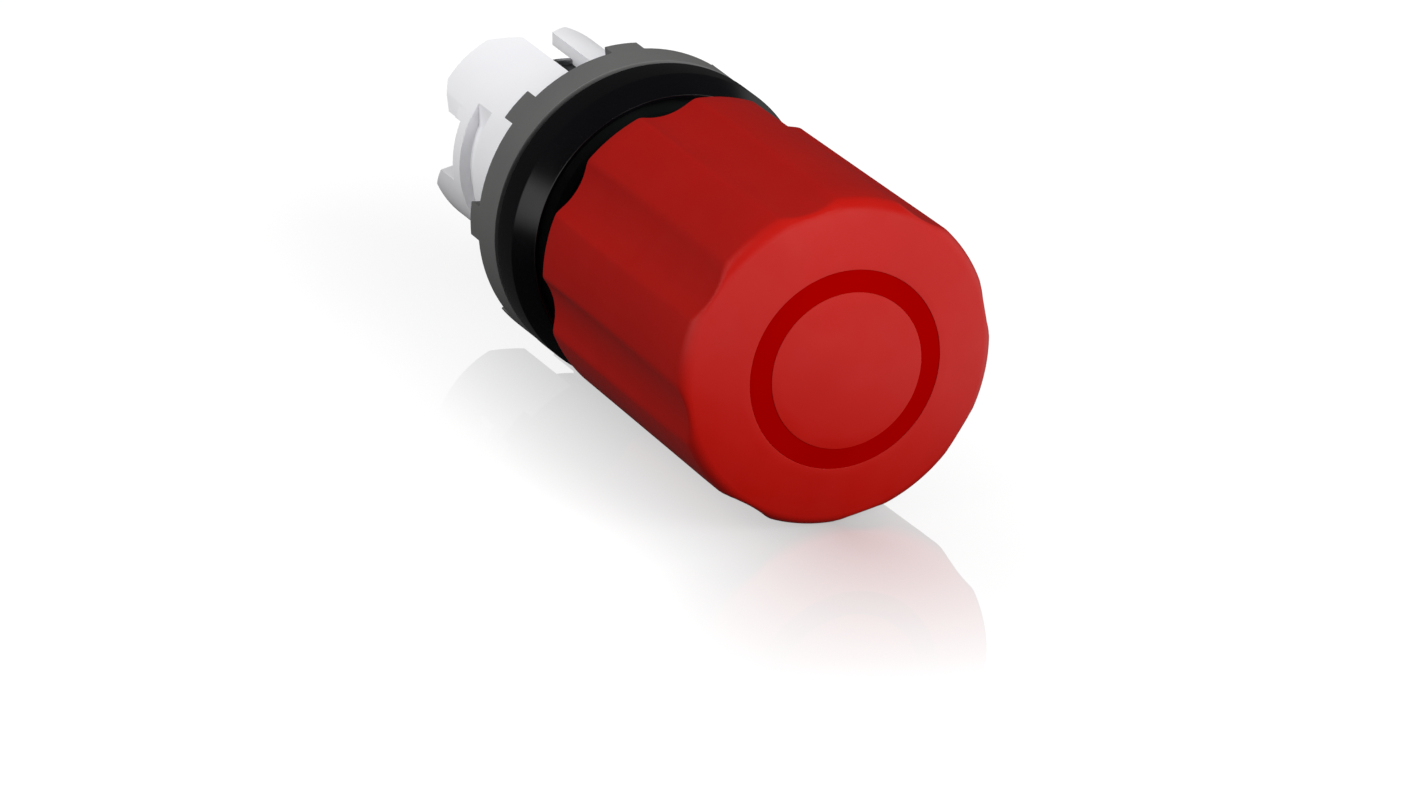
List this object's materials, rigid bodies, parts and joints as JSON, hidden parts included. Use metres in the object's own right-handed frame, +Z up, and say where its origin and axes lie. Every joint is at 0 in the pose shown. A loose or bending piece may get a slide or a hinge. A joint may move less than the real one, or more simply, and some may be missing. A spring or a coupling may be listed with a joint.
{
  "type": "emergency stop button",
  "caption": "Panel-mount emergency stop button: a fluted red mushroom knob that pushes in and latches, a black bezel, a grey gasket and a white bayonet mounting body.",
  "frame": {"origin": "centre of the panel hole, on the panel's front face, which the gasket's pads bear on", "axes": "+Y along the button's axis from the knob towards the contact end, +Z up, +X right as seen from the knob's side"},
  "size_m": [0.03, 0.0662, 0.03],
  "materials": {
    "red_plastic": "satin moulded",
    "dark_red_plastic": "satin moulded",
    "black_plastic": "fine texture",
    "bezel_plastic": "satin moulded",
    "acetal_black": "smooth",
    "natural_plastic": "smooth",
    "white_plastic": "satin moulded",
    "grey_rubber": "matte",
    "black_rubber": "matte",
    "plain_steel": "ground",
    "plated_steel": "zinc plated",
    "spring_steel": "drawn wire"
  },
  "bodies": {
    "housing": {"guide_sleeve": "black_plastic", "bezel_ring": "bezel_plastic", "dust_seal": "black_rubber", "stem_wiper": "black_rubber", "sleeve_o_ring": "black_rubber", "sleeve_clip": "spring_steel", "latch_cam": "natural_plastic", "rear_bush": "natural_plastic", "panel_gasket": "grey_rubber", "mounting_body": "white_plastic", "trip_spring": "spring_steel"},
    "plunger": {"knob_shell": "red_plastic", "face_ring": "dark_red_plastic", "knob_hub": "black_plastic", "knob_screw": "plated_steel", "plunger_stem": "acetal_black", "guide_key": "plain_steel", "spring_washer": "plain_steel", "stop_ring": "spring_steel", "contact_push_plate": "natural_plastic", "push_plate_screw": "plated_steel", "latch_spring_left": "spring_steel", "latch_spring_right": "spring_steel"},
    "latch_pin_left": {"latch_pin_left": "plain_steel"},
    "latch_pin_right": {"latch_pin_right": "plain_steel"}
  },
  "joints": [
    {"name": "knob_push", "type": "slide", "parent": "housing", "child": "plunger", "axis": [0, 1, 0], "range_m": [0, 0.0045], "deforming": ["trip_spring"]},
    {"name": "latch_left_slide", "type": "slide", "parent": "plunger", "child": "latch_pin_left", "axis": [-1, 0, 0], "range_m": [0, 0.00095], "deforming": ["latch_spring_left"]},
    {"name": "latch_right_slide", "type": "slide", "parent": "plunger", "child": "latch_pin_right", "axis": [1, 0, 0], "range_m": [0, 0.00095], "deforming": ["latch_spring_right"]}
  ],
  "couplings": [
    {"joint": "latch_left_slide", "follows": "knob_push", "ratio": 0.2},
    {"joint": "latch_right_slide", "follows": "knob_push", "ratio": 0.2}
  ]
}
